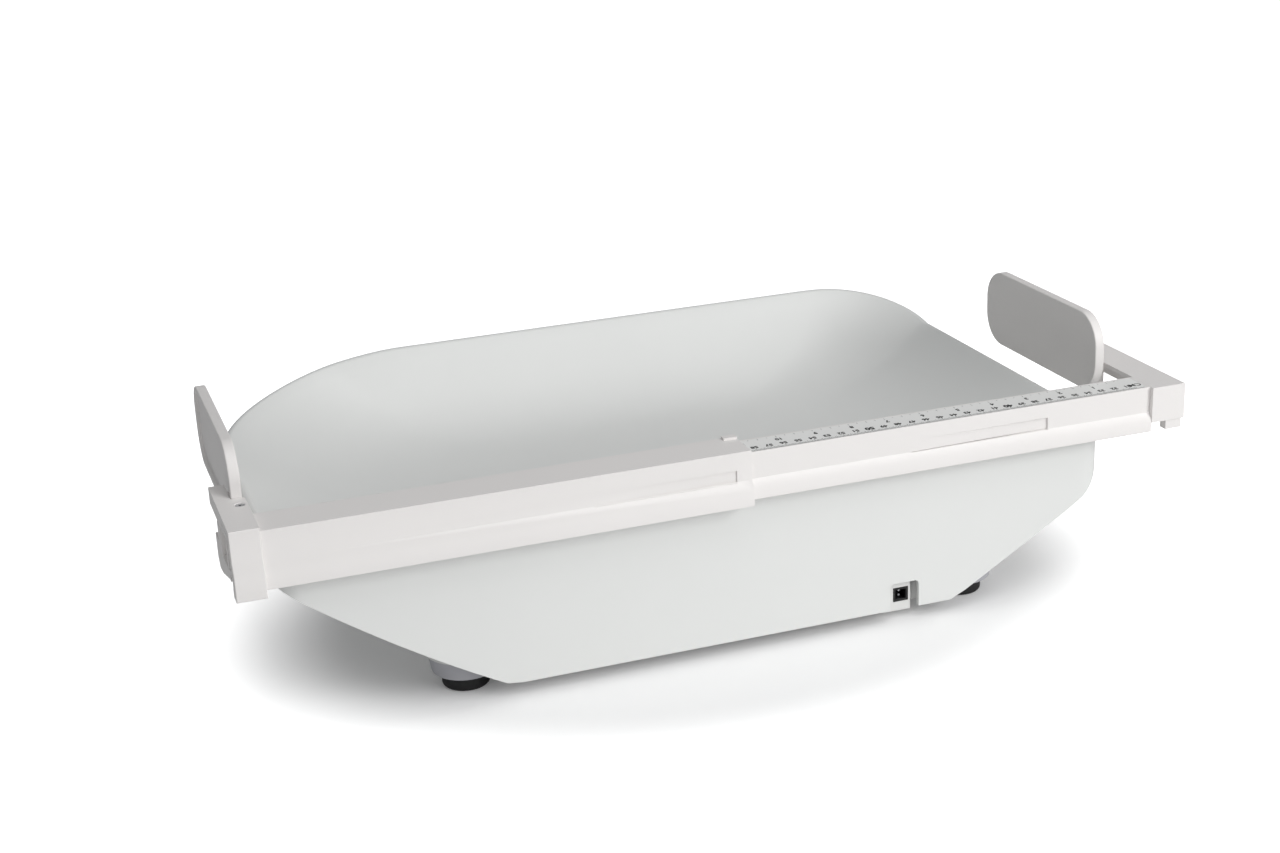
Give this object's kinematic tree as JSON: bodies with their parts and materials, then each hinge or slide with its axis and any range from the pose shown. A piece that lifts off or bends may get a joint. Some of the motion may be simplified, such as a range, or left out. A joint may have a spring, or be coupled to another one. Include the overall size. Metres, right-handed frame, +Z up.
{
  "type": "digital baby weighing scale",
  "caption": "Digital baby weighing scale with a moulded lying tray, a display console and a sliding rod that measures length between two paddles.",
  "frame": {"origin": "centre of the bounding box at the floor, under the rubber feet", "axes": "+Z up; +X along the measuring rod towards the head end; +Y towards the measuring rod and the power inlet; -Y towards the display and the operator"},
  "size_m": [0.64, 0.369, 0.178],
  "materials": {
    "shell_white": "satin moulded",
    "rod_white": "satin moulded",
    "console_white": "satin moulded",
    "collar_grey": "satin moulded",
    "foot_rubber": "matte",
    "socket_black": "matte",
    "screw_steel": "zinc plated",
    "plate_steel": "brushed",
    "cell_aluminium": "milled",
    "contact_brass": "nickel plated",
    "board_green": "solder mask",
    "ribbon_grey": "flat cable",
    "ruler_grey": "printed",
    "key_grey": "satin moulded",
    "window_tint": "clear, polished",
    "lcd_grey": "glass-like",
    "cell_wrap": "printed sleeve"
  },
  "bodies": {
    "base": {"tray_shell": "shell_white", "tray_underframe": "shell_white", "cell_top_spacer": "plate_steel", "load_cell": "cell_aluminium", "cell_bottom_spacer": "plate_steel", "cell_screws": "screw_steel", "chassis_plate": "plate_steel", "chassis_screws": "screw_steel", "base_housing": "console_white", "foot_pods": "console_white", "base_cover": "console_white", "cover_screws": "screw_steel", "foot_collars": "collar_grey", "rubber_feet": "foot_rubber", "power_inlet": "socket_black", "inlet_pins": "screw_steel", "main_board": "board_green", "board_screws": "screw_steel", "battery_cells": "cell_wrap", "battery_contacts": "contact_brass", "console_housing": "console_white", "console_screws": "screw_steel", "display_window": "window_tint", "display_module": "lcd_grey", "display_board": "board_green", "display_ribbon": "ribbon_grey", "key_switches": "socket_black"},
    "rod": {"rail": "rod_white", "ruler_strip": "ruler_grey", "foot_arm": "rod_white", "foot_arm_screws": "screw_steel", "foot_paddle": "rod_white"},
    "slider": {"sleeve": "rod_white", "head_block": "rod_white", "head_block_screw": "screw_steel", "head_paddle": "rod_white"},
    "power_key": {"power_key": "key_grey"},
    "tare_key": {"tare_key": "key_grey"},
    "unit_key": {"unit_key": "key_grey"},
    "battery_lid": {"battery_lid": "console_white"}
  },
  "joints": [
    {"name": "rod_lift", "type": "slide", "parent": "base", "child": "rod", "axis": [0, 0, 1], "range_m": [0, 0.08]},
    {"name": "head_slide", "type": "slide", "parent": "rod", "child": "slider", "axis": [1, 0, 0], "range_m": [-0.236, 0.214]},
    {"name": "power_press", "type": "slide", "parent": "base", "child": "power_key", "axis": [0, 0.9397, -0.342], "range_m": [0, 0.001], "stiffness_N_per_m": 400},
    {"name": "tare_press", "type": "slide", "parent": "base", "child": "tare_key", "axis": [0, 0.9397, -0.342], "range_m": [0, 0.001], "stiffness_N_per_m": 400},
    {"name": "unit_press", "type": "slide", "parent": "base", "child": "unit_key", "axis": [0, 0.9397, -0.342], "range_m": [0, 0.001], "stiffness_N_per_m": 400},
    {"name": "battery_lid_release", "type": "slide", "parent": "base", "child": "battery_lid", "axis": [0, 0, -1], "range_m": [0, 0.03]}
  ]
}
